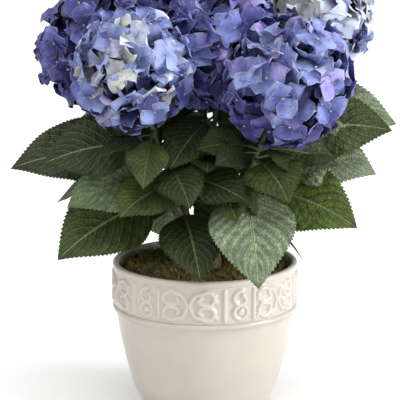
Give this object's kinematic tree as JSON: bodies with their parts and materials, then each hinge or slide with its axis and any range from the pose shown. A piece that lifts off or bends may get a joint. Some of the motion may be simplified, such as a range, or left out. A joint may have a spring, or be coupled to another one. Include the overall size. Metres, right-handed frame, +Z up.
{
  "type": "potted mophead hydrangea shrub",
  "caption": "Leafy mophead hydrangea with round blue and violet flower heads on short canes, growing in a round glazed pot with a raised band.",
  "frame": {"origin": "centre of the pot's flat underside, on the surface that the pot stands on", "axes": "+Z up through the pot's axis, -Y towards the plant's front, +X to the right seen from the front"},
  "size_m": [0.4156, 0.3347, 0.5125],
  "materials": {
    "glaze": "soft satin cream glaze over low relief",
    "potting_soil": "dull crumbly peat",
    "moss": "dull fibrous moss",
    "bark": "thin flaking bark",
    "leaf": "dark green leaf with a soft sheen",
    "petals_pale": "matt pale blue and white sepals",
    "petals_violet": "matt violet blue sepals",
    "petals_periwinkle": "matt periwinkle blue sepals"
  },
  "bodies": {
    "root": {"glazed_pot": "glaze", "potting_soil": "potting_soil", "moss_cushion": "moss", "stem_crown": "bark", "cane_front_left": "bark", "leafy_shoot_front_left": "leaf", "flower_head_front_left": "petals_pale", "cane_left": "bark", "leafy_shoot_left": "leaf", "flower_head_left": "petals_violet", "cane_middle": "bark", "leafy_shoot_middle": "leaf", "flower_head_middle": "petals_periwinkle", "cane_front_right": "bark", "leafy_shoot_front_right": "leaf", "flower_head_front_right": "petals_periwinkle", "cane_right": "bark", "leafy_shoot_right": "leaf", "flower_head_right": "petals_periwinkle", "cane_inner": "bark", "leafy_shoot_inner": "leaf", "flower_head_inner": "petals_violet", "cane_back": "bark", "leafy_shoot_back": "leaf", "flower_head_back": "petals_violet", "cane_back_left": "bark", "leafy_shoot_back_left": "leaf", "flower_head_back_left": "petals_violet"}
  },
  "joints": []
}
